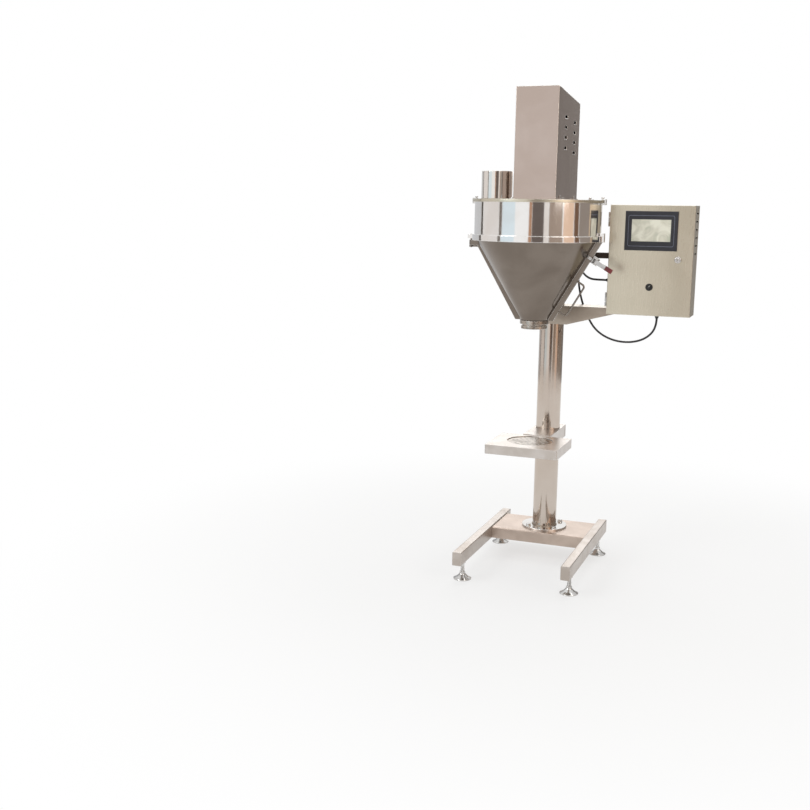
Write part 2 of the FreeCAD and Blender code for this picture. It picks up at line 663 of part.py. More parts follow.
def toggle_parts():
    plate = box(-18, 30, STRIP_THICK, STRIP_THICK + 3, -16, 16)
    ears = [box(1, 27, -18, STRIP_THICK + 1, z, z + 3) for z in (-13, 10)]
    ears = [ear.makeFillet(5.0, [e for e in ear.Edges if abs(e.tangentAt(e.FirstParameter).z) > 0.99
                                 and e.CenterOfMass.y < 0]) for ear in ears]
    pins = [rod(x, y, -14, 14, 2.5) for x, y in (ARM_PIVOT, HANDLE_PIVOT)]
    NODES["toggle_base"] = on_seam(together([plate] + ears + pins))

    x, y = ARM_PIVOT
    hub = rod(x, y, -9.5, 9.5, 5.5)
    bar = box(x - 24, x, y - 3, y + 2.5, -6, 6)
    arm = together([hub, bar]).cut(rod(x, y, -10, 10, 2.5 + RUN))
    ahead = V(0, -1, 0)
    stem = rod_along(V(x - 17, -STRIP_THICK - 1, 0), ahead, 18, 2.5)
    pad = rod_along(V(x - 17, -STRIP_THICK - FIT, 0), ahead, 2.4, 5)
    nut = rod_along(V(x - 17, y - 3, 0), ahead, 4, 4.5)
    NODES["toggle_arm"] = on_seam(together([arm, stem, pad, nut]))

    x, y = HANDLE_PIVOT
    hub = rod(x, y, -9.5, 9.5, 5.5)
    shank = box(x, x + 48, y - 3, y + 3, -9, 9)
    core = box(x + 40, x + 78, y - 2, y + 2, -6, 6)
    handle = together([hub, shank, core]).cut(rod(x, y, -10, 10, 2.5 + RUN))
    NODES["toggle_handle"] = on_seam(handle)
    grip = box(x + 49, x + 81, y - 5, y + 5, -9.5, 9.5)
    grip = grip.makeFillet(3.5, [e for e in grip.Edges if abs(e.tangentAt(e.FirstParameter).x) > 0.99])
    NODES["toggle_grip"] = on_seam(grip.cut(box(x + 48, x + 78, y - 2, y + 2, -6, 6)))


# ---------------------------------------------------------------- drive housing and what it covers
def housing_top(y):
    share = (y - HOUSING_FRONT) / (HOUSING_REAR - HOUSING_FRONT)
    return HOUSING_TOP - HOUSING_FALL * share


def drive_housing():
    """Folded cover, open below, with a top that falls to the rear and vent slots in both sides."""
    left, right = HOUSING_X - HOUSING_WIDTH / 2, HOUSING_X + HOUSING_WIDTH / 2
    sheet = HOUSING_SHEET

    def outline(inset):
        front, rear = HOUSING_FRONT + inset, HOUSING_REAR - inset
        return [(front, LID_TOP), (rear, LID_TOP), (rear, housing_top(rear) - inset),
                (front, housing_top(front) - inset)]

    shell = prism_yz(outline(0), left, right)
    shell = shell.cut(prism_yz(outline(sheet), left + sheet, right - sheet))
    slots = []
    for y, first in ((-312.0, 1955.0), (-155.0, 1943.0)):
        for row in range(4):
            z = first - row * VENT_PITCH
            slots.append(box(left - 1, right + 1, y - VENT_LENGTH / 2, y + VENT_LENGTH / 2,
                             z - VENT_HEIGHT / 2, z + VENT_HEIGHT / 2))
    return shell.cut(slots)


def housing_feet():
    """Small angles with hexagon bolts that hold the housing to the lid."""
    pieces = []
    for hand, edge in ((-1, HOUSING_X - HOUSING_WIDTH / 2), (1, HOUSING_X + HOUSING_WIDTH / 2)):
        for y in (-420.0 if hand < 0 else -378.0, -125.0):
            x0, x1 = sorted((edge, edge + hand * 20))
            u0, u1 = sorted((edge, edge + hand * 2.5))
            angle = together([box(x0, x1, y - 11, y + 11, LID_TOP, LID_TOP + 2.5),
                              box(u0, u1, y - 11, y + 11, LID_TOP, LID_TOP + 18)])
            pieces.append(together([angle, bolt(edge + hand * 12, y, LID_TOP + 2.4, 10, 6)]))
    return group(pieces)


def pulley(x, y, radius):
    """Flat belt pulley with two side flanges and a hub."""
    z0, z1 = PULLEY_BOTTOM, PULLEY_BOTTOM + PULLEY_THICK
    lip = BELT_THICK + 1.5
    profile = [(0, z0), (radius + lip, z0), (radius + lip, z0 + 2), (radius, z0 + 3),
               (radius, z1 - 3), (radius + lip, z1 - 2), (radius + lip, z1), (0, z1)]
    return turned(profile, x, y)


def belt():
    """Flat belt round both pulleys, a little clear of them."""
    z0, z1 = PULLEY_BOTTOM + 4, PULLEY_BOTTOM + PULLEY_THICK - 4

    def loop(extra):
        big, small = AGITATOR_PULLEY + extra, STIRRER_PULLEY + extra
        span = STIRRER_Y - HOPPER_Y
        lean = math.asin((big - small) / span)
        side, ahead = math.cos(lean), math.sin(lean)
        a = V(big * side, HOPPER_Y + big * ahead, z0)
        b = V(small * side, STIRRER_Y + small * ahead, z0)
        c, d = V(-b.x, b.y, z0), V(-a.x, a.y, z0)
        outline = Part.Wire([Part.makeLine(a, b), Part.Arc(b, V(0, STIRRER_Y + small, z0), c).toShape(),
                             Part.makeLine(c, d), Part.Arc(d, V(0, HOPPER_Y - big, z0), a).toShape()])
        return Part.Face(outline).extrude(V(0, 0, z1 - z0))

    return loop(FIT + BELT_THICK).cut(loop(FIT))


def auger():
    """Dosing screw: a helical flight on the shaft's lower end, and a keyed upper end."""
    top = MOTOR_SEAT - 40
    shaft = rod(0, HOPPER_Y, AUGER_FOOT, top, AUGER_SHAFT)
    height = AUGER_PITCH * AUGER_TURNS
    helix = Part.makeHelix(AUGER_PITCH, height, AUGER_SHAFT - 1)
    inner, outer = AUGER_SHAFT - 1, AUGER_RADIUS
    section = Part.makePolygon([V(inner, 0, -1.5), V(outer, 0, -1.0), V(outer, 0, 1.0),
                                V(inner, 0, 1.5), V(inner, 0, -1.5)])
    flight = Part.Wire(helix).makePipeShell([section], True, True)
    flight.translate(V(0, HOPPER_Y, AUGER_FOOT + 3))
    return shaft.fuse(flight)


def agitator():
    """Hollow shaft with two cross arms that carry a stirring blade along each side of the cone."""
    low = 1330.0
    shaft = rod(0, HOPPER_Y, low, PULLEY_BOTTOM + PULLEY_THICK + 6, HOLLOW_SHAFT)
    arm_z = RING_BOTTOM - 26
    foot_z = CONE_FOOT + 46
    mid_z = 1345.0
    pieces = [shaft]
    for hand in (-1, 1):
        high_x, low_x = cone_radius(arm_z) - BLADE_GAP, cone_radius(foot_z) - BLADE_GAP
        blade = [(hand * high_x, arm_z), (hand * (high_x - BLADE_WIDTH), arm_z),
                 (hand * (low_x - BLADE_WIDTH), foot_z), (hand * low_x, foot_z)]
        pieces.append(prism_xz(blade, HOPPER_Y - 3, HOPPER_Y + 3))
        x0, x1 = sorted((hand * 10, hand * (high_x - 2)))
        pieces.append(box(x0, x1, HOPPER_Y - 5, HOPPER_Y + 5, arm_z - 14, arm_z))
        x0, x1 = sorted((hand * 10, hand * (cone_radius(mid_z) - BLADE_GAP - 6)))
        pieces.append(box(x0, x1, HOPPER_Y - 4, HOPPER_Y + 4, mid_z - 5, mid_z + 5))
    body = together(pieces)
    bore = rod(0, HOPPER_Y, low - 1, PULLEY_BOTTOM + PULLEY_THICK + 8, HOLLOW_BORE)
    return body.cut(bore)


def bearing_housing():
    """Flanged sleeve on the lid that holds the hollow shaft's bearings."""
    base = LID_TOP
    top = PULLEY_BOTTOM - 8
    profile = [(HOLLOW_SHAFT + 16, base), (58, base), (58, base + 8), (48, base + 12),
               (46, top), (HOLLOW_SHAFT + 16, top)]
    return turned(profile, 0, HOPPER_Y)


def drive_parts():
    NODES["drive_housing"] = drive_housing()
    NODES["housing_feet"] = housing_feet()
    NODES["auger_screw"] = auger()
    NODES["agitator"] = agitator()
    NODES["bearing_housing"] = bearing_housing()
    top = PULLEY_BOTTOM - 8
    NODES["agitator_bearings"] = group([tube(0, HOPPER_Y, z, z + 15, HOLLOW_SHAFT + 16, HOLLOW_SHAFT + RUN)
                                        for z in (LID_TOP + 4, top - 17)])
    NODES["agitator_pulley"] = pulley(0, HOPPER_Y, AGITATOR_PULLEY).cut(
        rod(0, HOPPER_Y, PULLEY_BOTTOM - 1, PULLEY_BOTTOM + PULLEY_THICK + 1, HOLLOW_SHAFT))
    shaft_foot = PULLEY_BOTTOM - 2
    spindle = rod(0, STIRRER_Y, shaft_foot, PULLEY_BOTTOM + PULLEY_THICK + 14, 9)
    NODES["stirrer_pulley"] = together([pulley(0, STIRRER_Y, STIRRER_PULLEY), spindle])
    NODES["agitator_belt"] = belt()
    coupling = turned([(0, MOTOR_SEAT - 62), (26, MOTOR_SEAT - 62), (26, MOTOR_SEAT - 40),
                       (22, MOTOR_SEAT - 38), (22, MOTOR_SEAT - 34), (26, MOTOR_SEAT - 32),
                       (26, MOTOR_SEAT - 10), (0, MOTOR_SEAT - 10)], 0, HOPPER_Y)
    coupling = coupling.cut(rod(0, HOPPER_Y, MOTOR_SEAT - 63, MOTOR_SEAT - 40, AUGER_SHAFT))
    NODES["shaft_coupling"] = together([coupling, rod(0, HOPPER_Y, MOTOR_SEAT - 12, MOTOR_SEAT + 10, 9)])

    side, deep = 66.0, 62.0
    stand = box(-side, side, HOPPER_Y - deep, HOPPER_Y + deep, LID_TOP, MOTOR_SEAT)
    stand = stand.cut([box(-side + 5, side - 5, HOPPER_Y - deep - 1, HOPPER_Y + deep + 1, LID_TOP - 1,
                           MOTOR_SEAT - 8),
                       rod(0, HOPPER_Y, MOTOR_SEAT - 9, MOTOR_SEAT + 1, 36)])
    slots = [box(-side - 1, side + 1, HOPPER_Y - 34, HOPPER_Y + 34, LID_TOP + 30, MOTOR_SEAT - 40)]
    stand = stand.cut(slots)

    half = SERVO_SIZE / 2
    body = box(-half, half, HOPPER_Y - half, HOPPER_Y + half, MOTOR_SEAT, MOTOR_SEAT + 14)
    can = box(-half + 5, half - 5, HOPPER_Y - half + 5, HOPPER_Y + half - 5, MOTOR_SEAT + 13,
              MOTOR_SEAT + SERVO_LENGTH)
    can = can.makeFillet(12.0, [e for e in can.Edges if abs(e.tangentAt(e.FirstParameter).z) > 0.99])
    encoder = box(-half + 14, half - 14, HOPPER_Y - half + 14, HOPPER_Y + half - 14,
                  MOTOR_SEAT + SERVO_LENGTH - 1, MOTOR_SEAT + SERVO_LENGTH + 28)
    hollow = rod(0, HOPPER_Y, MOTOR_SEAT - 1, MOTOR_SEAT + 12, 9 + FIT)
    NODES["servo_motor"] = together([body, can, encoder]).cut(hollow)

    seat = PULLEY_BOTTOM + PULLEY_THICK + 6
    gearbox = box(-42, 42, STIRRER_Y - 42, STIRRER_Y + 42, seat + 6, seat + 66)
    gearbox = gearbox.makeFillet(6.0, [e for e in gearbox.Edges if abs(e.tangentAt(e.FirstParameter).z) > 0.99])
    motor = rod(0, STIRRER_Y, seat + 65, seat + 190, 38)
    fan = rod(0, STIRRER_Y, seat + 189, seat + 225, 40)
    pocket = rod(0, STIRRER_Y, seat + 5, seat + 16, 9 + FIT)
    NODES["stirrer_motor"] = together([gearbox, motor, fan]).cut(pocket)
    frame = box(-52, 52, STIRRER_Y - 40, STIRRER_Y + 48, LID_TOP, seat + 6)
    frame = frame.cut([box(-47, 47, STIRRER_Y - 49, STIRRER_Y + 49, LID_TOP - 1, seat),
                       rod(0, STIRRER_Y, seat - 1, seat + 7, 16)])
    NODES["motor_stands"] = group([stand, frame])


# ---------------------------------------------------------------- control box
BOX_RIGHT = BOX_LEFT + BOX_WIDTH
BOX_TOP = BOX_BOTTOM + BOX_HEIGHT
BODY_FRONT = BOX_FRONT + DOOR_DEPTH + DOOR_GAP
BOX_PIVOT = (BOX_LEFT - BOX_PIVOT_GAP - BARREL_RADIUS, BODY_FRONT - DOOR_GAP)
HINGE_Z = (BOX_BOTTOM + 60, BOX_TOP - 60)
BARREL = 20.0


def box_body():
    """Sheet enclosure with an inward lip round its mouth and louvres in its right side."""
    t = BOX_SHEET
    shell = box(BOX_LEFT, BOX_RIGHT, BODY_FRONT, BOX_REAR, BOX_BOTTOM, BOX_TOP)
    hollow = box(BOX_LEFT + t, BOX_RIGHT - t, BODY_FRONT + t, BOX_REAR - t, BOX_BOTTOM + t, BOX_TOP - t)
    lip = 14.0
    mouth = box(BOX_LEFT + lip, BOX_RIGHT - lip, BODY_FRONT - 1, BODY_FRONT + t + 1, BOX_BOTTOM + lip,
                BOX_TOP - lip)
    louvres = [box(BOX_RIGHT - t - 1, BOX_RIGHT + 1, BODY_FRONT + 24, BOX_REAR - 24, z, z + 7)
               for z in range(int(BOX_TOP) - 200, int(BOX_TOP) - 20, 33)]
    entries = [rod_along(V(BOX_LEFT - 1, GLAND_A[1], GLAND_A[2]), V(1, 0, 0), t + 2, 7),
               rod(GLAND_B[0], GLAND_B[1], BOX_BOTTOM - 1, BOX_BOTTOM + t + 1, 7)]
    return shell.cut([hollow, mouth] + louvres + entries)


def box_door():
    """Pan door over the whole front, pierced for the panel, the lock and the selector."""
    t = BOX_SHEET
    back = BOX_FRONT + DOOR_DEPTH
    pan = box(BOX_LEFT, BOX_RIGHT, BOX_FRONT, back, BOX_BOTTOM, BOX_TOP)
    edges = [e for e in pan.Edges if abs(e.CenterOfMass.y - BOX_FRONT) < 0.1]
    pan = pan.makeFillet(1.4, edges)
    hollow = box(BOX_LEFT + t, BOX_RIGHT - t, BOX_FRONT + t, back + 1, BOX_BOTTOM + t, BOX_TOP - t)
    window = box(PANEL_X - PANEL_WIDTH / 2 + 6, PANEL_X + PANEL_WIDTH / 2 - 6, BOX_FRONT - 1,
                 BOX_FRONT + t + 1, PANEL_Z - PANEL_HEIGHT / 2 + 6, PANEL_Z + PANEL_HEIGHT / 2 - 6)
    lock = rod_along(V(LOCK_X, BOX_FRONT - 1, LOCK_Z), V(0, 1, 0), t + 2, 9)
    knob = rod_along(V(KNOB_X, BOX_FRONT - 1, KNOB_Z), V(0, 1, 0), t + 2, 11)
    return pan.cut([hollow, window, lock, knob])


def hinge_leaf(z0, z1, moving):
    """Barrel round the pin with a leaf on the box's side, or on the door's."""
    x, y = BOX_PIVOT
    barrel = tube(x, y, z0, z1, BARREL_RADIUS, HINGE_PIN + RUN)
    if moving:
        leaf = box(x, BOX_LEFT, BOX_FRONT + 3, y - 2, z0, z1)
    else:
        leaf = box(x, BOX_LEFT, y + 2, y + 26, z0, z1)
    return together([barrel, leaf.cut(rod(x, y, z0 - 1, z1 + 1, HINGE_PIN + 1))])


def box_hinges():
    """Fixed outer knuckles and pins; the door's knuckle sits between them."""
    x, y = BOX_PIVOT
    fixed, moving = [], []
    for z in HINGE_Z:
        moving.append(hinge_leaf(z - BARREL / 2 + SEAM, z + BARREL / 2 - SEAM, True))
        for low in (z - 1.5 * BARREL, z + BARREL / 2):
            fixed.append(hinge_leaf(low, low + BARREL, False))
        fixed.append(rod(x, y, z - 1.5 * BARREL, z + 1.5 * BARREL, HINGE_PIN))
    NODES["box_hinges"] = group(fixed)
    NODES["door_knuckles"] = group(moving)


def operator_panel():
    """Touch panel: a bezel proud of the door, a screen set into it and the case behind."""
    w, h = PANEL_WIDTH / 2, PANEL_HEIGHT / 2
    face = BOX_FRONT - PANEL_PROUD
    bezel = box(PANEL_X - w, PANEL_X + w, face, BOX_FRONT, PANEL_Z - h, PANEL_Z + h)
    bezel = bezel.makeFillet(2.5, [e for e in bezel.Edges if abs(e.CenterOfMass.y - face) < 0.1])
    case = box(PANEL_X - w + 8, PANEL_X + w - 8, BOX_FRONT - 1, BOX_FRONT + 34, PANEL_Z - h + 8, PANEL_Z + h - 8)
    screen_w, screen_h = 80.0, 45.0
    pocket = box(PANEL_X - screen_w, PANEL_X + screen_w, face - 1, face + 2, PANEL_Z - screen_h + 2,
                 PANEL_Z + screen_h + 2)
    NODES["panel_case"] = together([bezel, case]).cut(pocket)
    NODES["panel_screen"] = box(PANEL_X - screen_w + 0.2, PANEL_X + screen_w - 0.2, face + 0.8, face + 2,
                                PANEL_Z - screen_h + 2.2, PANEL_Z + screen_h + 1.8)


def box_lock():
    """Quarter-turn lock: a fixed collar and a barrel with a cam behind the door."""
    ahead = V(0, -1, 0)
    collar = rod_along(V(LOCK_X, BOX_FRONT, LOCK_Z), ahead, 6, LOCK_RADIUS)
    collar = collar.makeChamfer(1.5, [e for e in collar.Edges if abs(e.CenterOfMass.y - BOX_FRONT + 6) < 0.1])
    sleeve = rod_along(V(LOCK_X, BOX_FRONT + 12, LOCK_Z), ahead, 12.5, 9)
    bore = rod_along(V(LOCK_X, BOX_FRONT + 13, LOCK_Z), ahead, 22, 6 + RUN)
    NODES["lock_body"] = together([collar, sleeve]).cut(bore)
    cam_face = BODY_FRONT + BOX_SHEET + 1
    cam_end = cam_face + 3
    barrel = rod_along(V(LOCK_X, cam_end, LOCK_Z), ahead, cam_end - BOX_FRONT + 7, 6)
    slot = box(LOCK_X - 1, LOCK_X + 1, BOX_FRONT - 8, BOX_FRONT - 4, LOCK_Z - 4, LOCK_Z + 4)
    cam = box(LOCK_X - 8, LOCK_X + 8, cam_face, cam_end, LOCK_Z - 54, LOCK_Z + 8)
    NODES["lock_barrel"] = together([barrel.cut(slot), cam])


def selector():
    """Two-position rotary selector with a raised grip bar."""
    ahead = V(0, -1, 0)
    ring = rod_along(V(KNOB_X, BOX_FRONT, KNOB_Z), ahead, 4, KNOB_RADIUS)
    ring = ring.makeChamfer(1.0, [e for e in ring.Edges if abs(e.CenterOfMass.y - BOX_FRONT + 4) < 0.1])
    block = box(KNOB_X - 15, KNOB_X + 15, BOX_FRONT + 8, BOX_FRONT + 46, KNOB_Z - 18, KNOB_Z + 18)
    neck = rod_along(V(KNOB_X, BOX_FRONT + 9, KNOB_Z), ahead, 10, 11)
    bore = rod_along(V(KNOB_X, BOX_FRONT + 6, KNOB_Z), ahead, 12, 6 + RUN)
    NODES["selector_body"] = together([ring, block, neck]).cut(bore)
    knob = rod_along(V(KNOB_X, BOX_FRONT - 4.3, KNOB_Z), ahead, 5, 12)
    stem = rod_along(V(KNOB_X, BOX_FRONT + 5, KNOB_Z), ahead, 10, 6)
    grip = box(KNOB_X - 4, KNOB_X + 4, BOX_FRONT - 20, BOX_FRONT - 8, KNOB_Z - 12, KNOB_Z + 12)
    grip = grip.makeFillet(2.0, [e for e in grip.Edges if abs(e.tangentAt(e.FirstParameter).y) > 0.99])
    turned_knob = together([knob, stem, grip])
    turned_knob.rotate(V(KNOB_X, BOX_FRONT, KNOB_Z), V(0, 1, 0), 35)
    NODES["selector_knob"] = turned_knob


def box_contents():
    """Mounting plate with the servo drive, the power supply and a row of terminals."""
    rear = BOX_REAR - BOX_SHEET
    plate = box(BOX_LEFT + 22, BOX_RIGHT - 22, rear - 10, rear - 8, BOX_BOTTOM + 26, BOX_TOP - 26)
    posts = [rod_along(V(x, rear, z), V(0, -1, 0), 9, 5) for x in (BOX_LEFT + 34, BOX_RIGHT - 34)
             for z in (BOX_BOTTOM + 38, BOX_TOP - 38)]
    NODES["mounting_plate"] = together([plate] + posts)
    seat = rear - 10
    drive = box(BOX_LEFT + 40, BOX_LEFT + 95, seat - 62, seat, BOX_TOP - 215, BOX_TOP - 45)
    fins = [box(BOX_LEFT + 39, BOX_LEFT + 96, seat - 50, seat - 10, z, z + 3)
            for z in range(int(BOX_TOP) - 205, int(BOX_TOP) - 60, 12)]
    supply = box(BOX_LEFT + 130, BOX_LEFT + 230, seat - 40, seat, BOX_TOP - 190, BOX_TOP - 90)
    terminals = [box(BOX_LEFT + 60 + 12 * i, BOX_LEFT + 71 + 12 * i, seat - 38, seat - 6, BOX_BOTTOM + 60,
                     BOX_BOTTOM + 104) for i in range(18)]
    rail = box(BOX_LEFT + 52, BOX_LEFT + 285, seat - 7, seat, BOX_BOTTOM + 66, BOX_BOTTOM + 98)
    NODES["box_electrics"] = group([together([drive] + fins), supply, together([rail] + terminals)])


# ---------------------------------------------------------------- glands and cables
GLAND_A = (BOX_LEFT, -128.0, 1290.0)
GLAND_B = (480.0, -110.0, BOX_BOTTOM)
EXIT_A = (70.0, HOUSING_REAR, 1690.0)
EXIT_B = (40.0, HOUSING_REAR, 1690.0)
GLAND_LENGTH = 18.0


def gland(place, direction):
    """Nut and dome screwed to a wall, with the cable's hole through them."""
    base = V(*place)
    collar = rod_along(base, direction, 6, 12)
    dome = Part.makeCone(10, CABLE / 2 + 1.5, GLAND_LENGTH - 6, base + direction * 6, direction)
    return together([collar, dome])


def cable_parts():
    left, down, back = V(-1, 0, 0), V(0, 0, -1), V(0, 1, 0)
    NODES["cable_glands"] = group([gland(GLAND_A, left), gland(GLAND_B, down),
                                   gland(EXIT_A, back), gland(EXIT_B, back)])
    start = HOUSING_REAR + GLAND_LENGTH
    side = BOX_LEFT - GLAND_LENGTH
    under = BOX_BOTTOM - GLAND_LENGTH
    route_a = [(70, start, 1690), (70, 8, 1690), (76, 58, 1622), (84, 66, 1520), (92, 48, 1425),
               (112, 4, 1352), (144, -60, 1312), (186, -112, 1292), (224, -128, 1290), (side, -128, 1290)]
    route_b = [(40, start, 1690), (40, 14, 1690), (46, 80, 1640), (70, 100, 1532), (84, 98, 1410),
               (88, 94, 1300), (104, 92, 1198), (142, 86, 1108), (188, 62, 1050), (262, 18, 1018),
               (352, -50, 1016), (432, -98, 1040), (480, -110, 1090), (480, -110, under)]
    NODES["stirrer_cable"] = cable_tube("stirrer_cable", route_a, CABLE)
    NODES["servo_cable"] = cable_tube("servo_cable", route_b, CABLE)
    CORDS.update(("stirrer_cable", "servo_cable"))


# ---------------------------------------------------------------- assembly
def build():
    floor_frame()
    column_parts()
    tray_parts()
    support_parts()
    hopper_parts()
    toggle_parts()
    drive_parts()
    NODES["box_body"] = box_body()
    NODES["box_door"] = box_door()
    box_hinges()
    operator_panel()
    box_lock()
    selector()
    box_contents()
    cable_parts()


def export():
    """Moves the machine so that its footprint's middle is the origin, and writes the nodes."""
    solid = Part.makeCompound([s for name, s in NODES.items() if name not in CORDS]).BoundBox
    shift = V(-(solid.XMin + solid.XMax) / 2, -(solid.YMin + solid.YMax) / 2, -solid.ZMin)
    print(f"origin moved by {-shift.x:.3f} {-shift.y:.3f} {-shift.z:.3f}, "
          f"size {solid.XLength:.1f} x {solid.YLength:.1f} x {solid.ZLength:.1f}")
    for name, shape in NODES.items():
        shape = shape.copy()
        shape.translate(shift)
        if not shape.isValid():
            print("not valid:", name)
        shape.exportStep(f"parts/{name}.step")
    print(len(NODES), "nodes")


build()
export()
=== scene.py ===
import math

import bmesh
import bpy
from mathutils import Matrix, Vector


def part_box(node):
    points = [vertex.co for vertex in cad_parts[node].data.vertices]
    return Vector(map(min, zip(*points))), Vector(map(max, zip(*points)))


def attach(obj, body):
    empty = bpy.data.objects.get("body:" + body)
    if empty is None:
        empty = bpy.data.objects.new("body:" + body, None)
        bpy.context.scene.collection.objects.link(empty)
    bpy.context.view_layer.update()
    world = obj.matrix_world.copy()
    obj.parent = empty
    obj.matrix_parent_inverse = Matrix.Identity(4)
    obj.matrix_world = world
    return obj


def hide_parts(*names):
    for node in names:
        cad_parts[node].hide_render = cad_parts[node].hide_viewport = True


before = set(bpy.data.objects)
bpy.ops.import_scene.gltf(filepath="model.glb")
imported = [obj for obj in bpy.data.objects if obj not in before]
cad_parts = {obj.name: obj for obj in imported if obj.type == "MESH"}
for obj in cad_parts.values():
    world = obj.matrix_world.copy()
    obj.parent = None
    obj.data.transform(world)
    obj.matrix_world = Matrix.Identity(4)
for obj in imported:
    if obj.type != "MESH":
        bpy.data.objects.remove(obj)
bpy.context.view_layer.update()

scene = bpy.context.scene
scene.view_settings.view_transform = "Standard"


# ---------------------------------------------------------------- camera
camera_data = bpy.data.cameras.new("studio_camera")
camera_data.sensor_width = 36.0
camera_data.lens = 48.77
camera = bpy.data.objects.new("studio_camera", camera_data)
scene.collection.objects.link(camera)
camera.matrix_world = (Matrix.Translation((1.012058, -4.632627, 1.586099))
                       @ Matrix.Rotation(math.radians(21.242), 4, "Z")
                       @ Matrix.Rotation(math.radians(90 - 10.239), 4, "X")
                       @ Matrix.Rotation(math.radians(0.820), 4, "Z"))
scene.camera = camera


# ---------------------------------------------------------------- places and plain pieces
COLUMN = Vector((-0.163, 0.2005, 0.0))     # the column's axis on the floor
HOPPER = COLUMN + Vector((0, -0.315, 0))   # the hopper's axis


def from_column(points):
    return [COLUMN + Vector(point) for point in points]


def line_piece(name, points, radius, body, closed=False, smooth=False):
    """A round bar, bead or wire along points."""
    curve = bpy.data.curves.new(name, "CURVE")
    curve.dimensions = "3D"
    curve.bevel_depth = 1.0
    curve.bevel_resolution = 3
    curve.use_fill_caps = True
    spline = curve.splines.new("NURBS" if smooth else "POLY")
    spline.points.add(len(points) - 1)
    for point, place in zip(spline.points, points):
        point.co = (*place, 1)
        point.radius = radius
    if smooth:
        spline.order_u = 3
        spline.use_endpoint_u = True
    spline.use_cyclic_u = closed
    piece = bpy.data.objects.new(name, curve)
    scene.collection.objects.link(piece)
    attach(piece, body)
    return piece


def mesh_piece(name, form, body):
    """A mesh object from a finished bmesh."""
    mesh = bpy.data.meshes.new(name)
    form.to_mesh(mesh)
    form.free()
    piece = bpy.data.objects.new(name, mesh)
    scene.collection.objects.link(piece)
    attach(piece, body)
    return piece


def circle(centre, radius, count=96, normal="z"):
    """Points round a circle, level or facing the front."""
    points = []
    for i in range(count):
        angle = 2 * math.pi * i / count
        across, along = radius * math.cos(angle), radius * math.sin(angle)
        offset = (across, along, 0) if normal == "z" else (across, 0, along)
        points.append(centre + Vector(offset))
    return points


# ---------------------------------------------------------------- cables
CABLE = 0.009              # diameter


def cable(name, route, stands_for):
    points = from_column(route)
    piece = line_piece(name, points, CABLE / 2, "frame", smooth=True)
    piece.data.resolution_u = 14
    piece.data.bevel_resolution = 5
    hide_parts(stands_for)
    return piece


stirrer_lead = cable("stirrer_lead", [
    (0.070, -0.052, 1.690), (0.070, 0.008, 1.690), (0.076, 0.058, 1.622), (0.084, 0.066, 1.520),
    (0.092, 0.048, 1.425), (0.112, 0.004, 1.352), (0.144, -0.060, 1.312), (0.186, -0.112, 1.292),
    (0.224, -0.128, 1.290), (0.262, -0.128, 1.290)], "stirrer_cable")
servo_lead = cable("servo_lead", [
    (0.040, -0.052, 1.690), (0.040, 0.014, 1.690), (0.046, 0.080, 1.640), (0.070, 0.100, 1.532),
    (0.084, 0.098, 1.410), (0.088, 0.094, 1.300), (0.104, 0.092, 1.198), (0.142, 0.086, 1.108),
    (0.188, 0.062, 1.050), (0.262, 0.018, 1.018), (0.352, -0.050, 1.016), (0.432, -0.098, 1.040),
    (0.480, -0.110, 1.090), (0.480, -0.110, 1.134)], "servo_cable")


# ---------------------------------------------------------------- finishes
def colour(code):
    """An sRGB hex colour as linear red, green, blue and alpha."""
    parts = [int(code[i:i + 2], 16) / 255 for i in (1, 3, 5)]
    return (*[p / 12.92 if p <= 0.04045 else ((p + 0.055) / 1.055) ** 2.4 for p in parts], 1.0)


def add(material, kind, values=None, links=None, **settings):
    """Adds one shader node: its own settings, fixed values and links into its sockets."""
    made = material.node_tree.nodes.new("ShaderNode" + kind)
    for key, value in settings.items():
        setattr(made, key, value)
    for key, value in (values or {}).items():
        made.inputs[key].default_value = value
    for key, source in (links or {}).items():
        material.node_tree.links.new(source, made.inputs[key])
    return made


def new_material(name):
    material = bpy.data.materials.new(name)
    material.use_nodes = True
    material.node_tree.nodes.clear()
    return material


def finish_with(material, shader):
    add(material, "OutputMaterial", links={"Surface": shader.outputs["BSDF"]})
    return material


